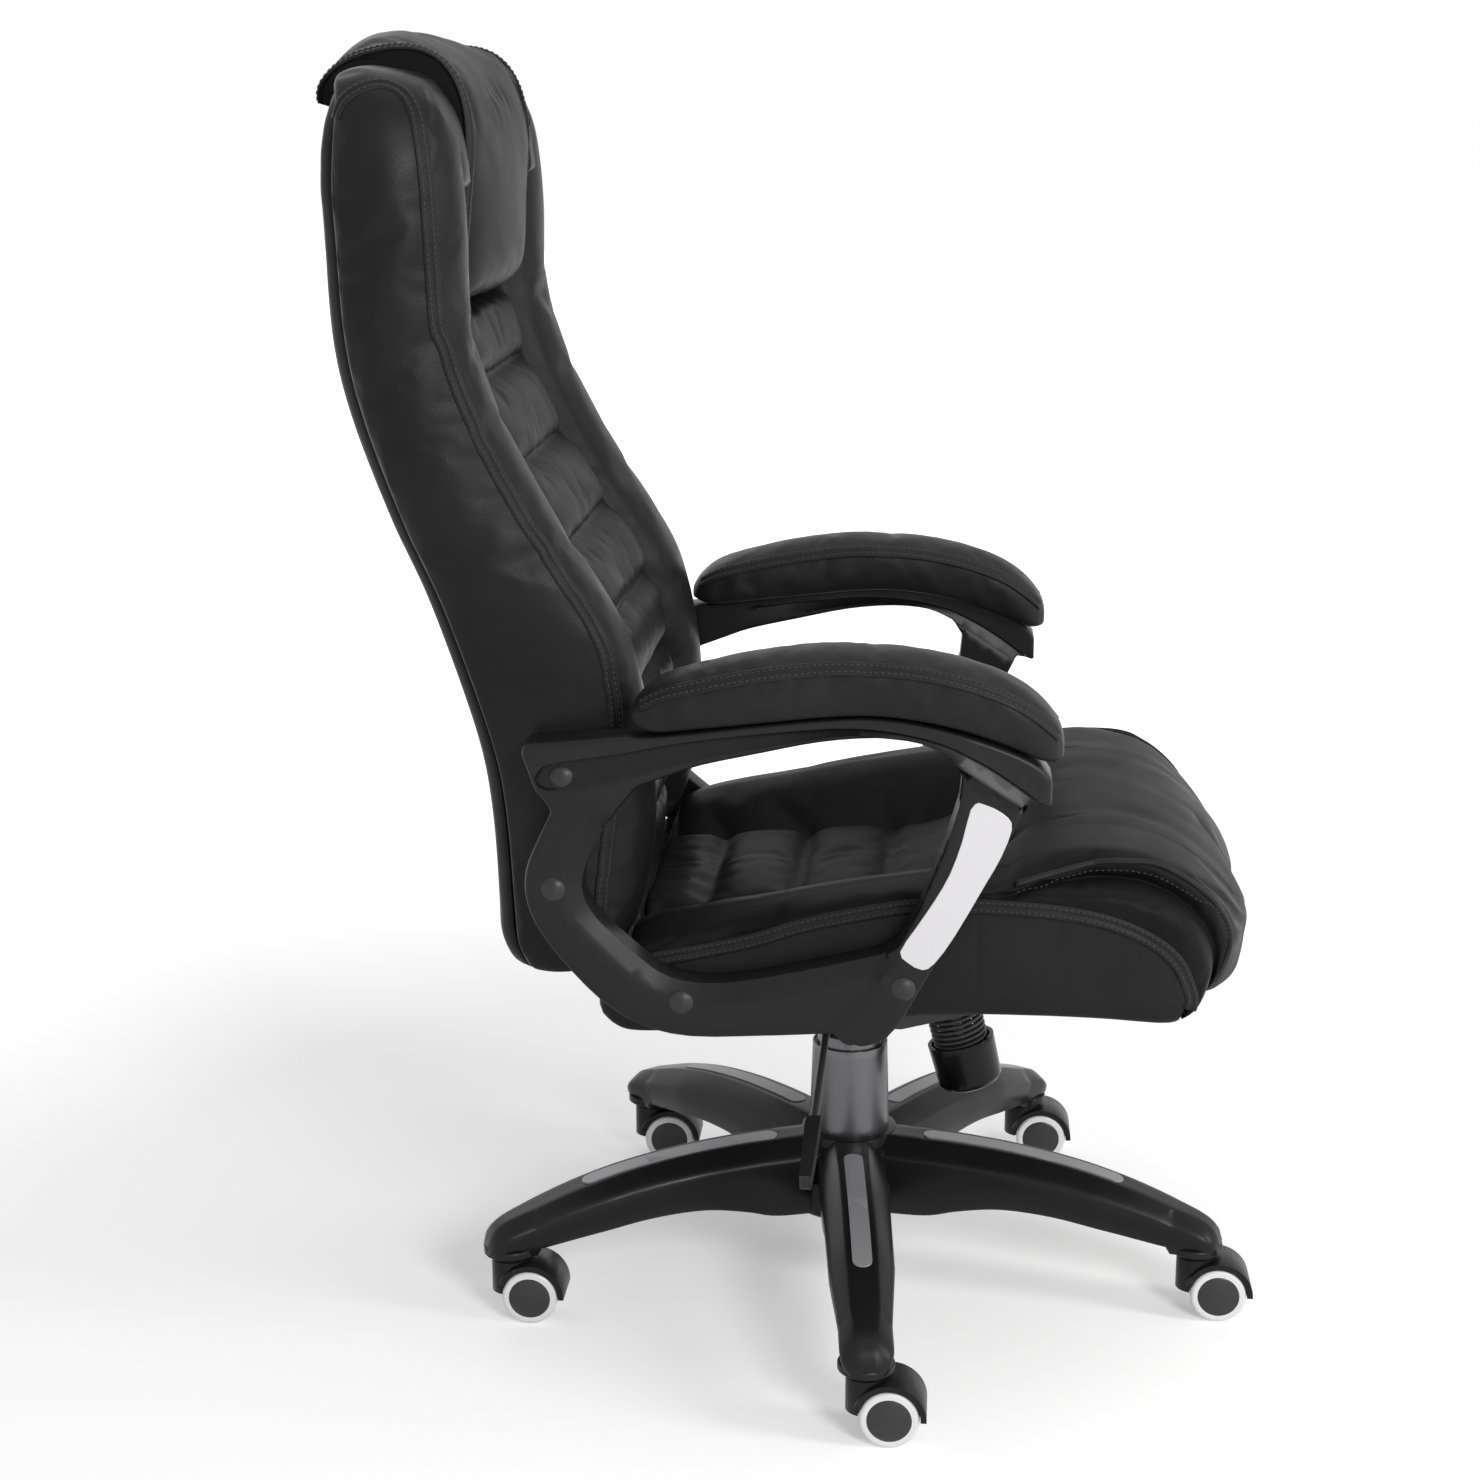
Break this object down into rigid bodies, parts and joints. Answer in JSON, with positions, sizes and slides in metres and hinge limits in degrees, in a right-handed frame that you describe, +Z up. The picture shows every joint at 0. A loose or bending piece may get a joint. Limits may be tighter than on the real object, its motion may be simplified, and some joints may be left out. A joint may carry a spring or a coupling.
{
  "type": "executive office chair",
  "caption": "High-backed padded swivel chair with a head cushion, padded loop arms, a gas lift, a spring-loaded tilt and a five-legged caster base.",
  "frame": {"origin": "on the floor, under the axis of the gas lift", "axes": "+X forward, +Y to the sitter's left, +Z up"},
  "size_m": [0.815, 0.6568, 1.13],
  "materials": {
    "black_nylon": "satin",
    "satin_inlay": "satin",
    "grey_sleeve": "satin",
    "steel": "satin",
    "wheel_cap": "satin",
    "white_tyre": "satin",
    "black_steel": "satin",
    "white_plastic": "satin",
    "bump_rubber": "matte",
    "gloss_black": "gloss",
    "plywood": "matte",
    "dust_cloth": "matte",
    "black_leather": "satin",
    "silver_inlay": "satin",
    "cap_plastic": "satin"
  },
  "bodies": {
    "base": {"base_star": "black_nylon", "base_inlays": "satin_inlay", "caster_stems": "steel", "gas_stand_tube": "black_steel", "gas_guide_bush": "white_plastic", "thrust_bearing": "steel", "cover_lower": "grey_sleeve"},
    "column_rotor": {"gas_piston_rod": "steel", "bump_stop": "bump_rubber"},
    "cover_sleeve": {"cover_middle": "grey_sleeve"},
    "mechanism": {"gas_pressure_tube": "black_steel", "cover_upper": "grey_sleeve", "mechanism_housing": "black_steel", "lever_pivot_pin": "steel", "tension_spring": "black_steel"},
    "valve": {"gas_valve_pin": "steel"},
    "lever_arm": {"lever_cradle": "black_steel"},
    "lever": {"lever_rod": "black_steel", "lever_paddle": "gloss_black"},
    "upper": {"tilt_axle": "steel", "seat_plate": "black_steel", "tension_bolt": "steel", "seat_bolts": "steel", "seat_tee_nuts": "steel", "seat_board": "plywood", "seat_dust_cover": "dust_cloth", "seat_base_cushion": "black_leather", "seat_top_cushion": "black_leather", "back_board": "plywood", "back_rear_cover": "black_leather", "back_cushion": "black_leather", "headrest": "black_leather", "arm_frame_right": "black_nylon", "arm_frame_left": "black_nylon", "arm_pads": "black_leather", "arm_inlays": "silver_inlay", "arm_bolts": "steel", "arm_bolt_caps": "cap_plastic"},
    "spring_seat": {"spring_washer": "steel"},
    "knob": {"tension_knob": "gloss_black"},
    "caster_1": {"caster_housing_1": "black_nylon"},
    "wheels_1": {"caster_axle_1": "steel", "caster_hubs_1": "wheel_cap", "caster_tyres_1": "white_tyre"},
    "caster_2": {"caster_housing_2": "black_nylon"},
    "wheels_2": {"caster_axle_2": "steel", "caster_hubs_2": "wheel_cap", "caster_tyres_2": "white_tyre"},
    "caster_3": {"caster_housing_3": "black_nylon"},
    "wheels_3": {"caster_axle_3": "steel", "caster_hubs_3": "wheel_cap", "caster_tyres_3": "white_tyre"},
    "caster_4": {"caster_housing_4": "black_nylon"},
    "wheels_4": {"caster_axle_4": "steel", "caster_hubs_4": "wheel_cap", "caster_tyres_4": "white_tyre"},
    "caster_5": {"caster_housing_5": "black_nylon"},
    "wheels_5": {"caster_axle_5": "steel", "caster_hubs_5": "wheel_cap", "caster_tyres_5": "white_tyre"}
  },
  "joints": [
    {"name": "column_swivel", "type": "hinge", "parent": "base", "child": "column_rotor", "pos_m": [0, 0, 0], "axis": [0, 0, 1], "continuous": true},
    {"name": "lift", "type": "slide", "parent": "column_rotor", "child": "mechanism", "axis": [0, 0, 1], "range_m": [0, 0.09]},
    {"name": "cover_slide", "type": "slide", "parent": "base", "child": "cover_sleeve", "axis": [0, 0, 1], "range_m": [0, 0.0451]},
    {"name": "gas_lever", "type": "hinge", "parent": "mechanism", "child": "lever_arm", "pos_m": [-0.017, -0.04, 0.286], "axis": [-1, 0, 0], "range_deg": [0, 6], "stiffness_Nm_per_rad": 6, "springref_deg": -8.59},
    {"name": "valve_push", "type": "slide", "parent": "mechanism", "child": "valve", "axis": [0, 0, -1], "range_m": [0, 0.00475]},
    {"name": "lever_pull", "type": "slide", "parent": "lever_arm", "child": "lever", "axis": [-0.041, -0.94, -0.3387], "range_m": [0, 0.012]},
    {"name": "tilt", "type": "hinge", "parent": "mechanism", "child": "upper", "pos_m": [0.034, 0, 0.296], "axis": [0, -1, 0], "range_deg": [0, 16], "stiffness_Nm_per_rad": 150, "springref_deg": -20.05, "deforming": ["tension_spring"]},
    {"name": "tension_travel", "type": "slide", "parent": "upper", "child": "spring_seat", "axis": [-0.247, 0, 0.969], "range_m": [-0.00301, 0.00301]},
    {"name": "tension_turn", "type": "hinge", "parent": "spring_seat", "child": "knob", "pos_m": [0.1021, 0, 0.23], "axis": [-0.247, 0, 0.969], "range_deg": [-720, 720]},
    {"name": "caster_swivel_1", "type": "hinge", "parent": "base", "child": "caster_1", "pos_m": [0.02793, -0.32581, 0.05], "axis": [0, 0, 1], "continuous": true},
    {"name": "wheel_roll_1", "type": "hinge", "parent": "caster_1", "child": "wheels_1", "pos_m": [0.04793, -0.32581, 0.025], "axis": [0, 1, 0], "continuous": true},
    {"name": "caster_swivel_2", "type": "hinge", "parent": "base", "child": "caster_2", "pos_m": [0.31849, -0.07412, 0.05], "axis": [0, 0, 1], "continuous": true},
    {"name": "wheel_roll_2", "type": "hinge", "parent": "caster_2", "child": "wheels_2", "pos_m": [0.33849, -0.07412, 0.025], "axis": [0, 1, 0], "continuous": true},
    {"name": "caster_swivel_3", "type": "hinge", "parent": "base", "child": "caster_3", "pos_m": [0.16891, 0.28, 0.05], "axis": [0, 0, 1], "continuous": true},
    {"name": "wheel_roll_3", "type": "hinge", "parent": "caster_3", "child": "wheels_3", "pos_m": [0.18891, 0.28, 0.025], "axis": [0, 1, 0], "continuous": true},
    {"name": "caster_swivel_4", "type": "hinge", "parent": "base", "child": "caster_4", "pos_m": [-0.2141, 0.24716, 0.05], "axis": [0, 0, 1], "continuous": true},
    {"name": "wheel_roll_4", "type": "hinge", "parent": "caster_4", "child": "wheels_4", "pos_m": [-0.1941, 0.24716, 0.025], "axis": [0, 1, 0], "continuous": true},
    {"name": "caster_swivel_5", "type": "hinge", "parent": "base", "child": "caster_5", "pos_m": [-0.30123, -0.12724, 0.05], "axis": [0, 0, 1], "continuous": true},
    {"name": "wheel_roll_5", "type": "hinge", "parent": "caster_5", "child": "wheels_5", "pos_m": [-0.28123, -0.12724, 0.025], "axis": [0, 1, 0], "continuous": true}
  ],
  "couplings": [
    {"joint": "cover_slide", "follows": "lift", "ratio": 0.5},
    {"joint": "valve_push", "follows": "gas_lever", "m_per_rad": 0.045},
    {"joint": "tension_travel", "follows": "tension_turn", "m_per_rad": 0.00023873}
  ]
}
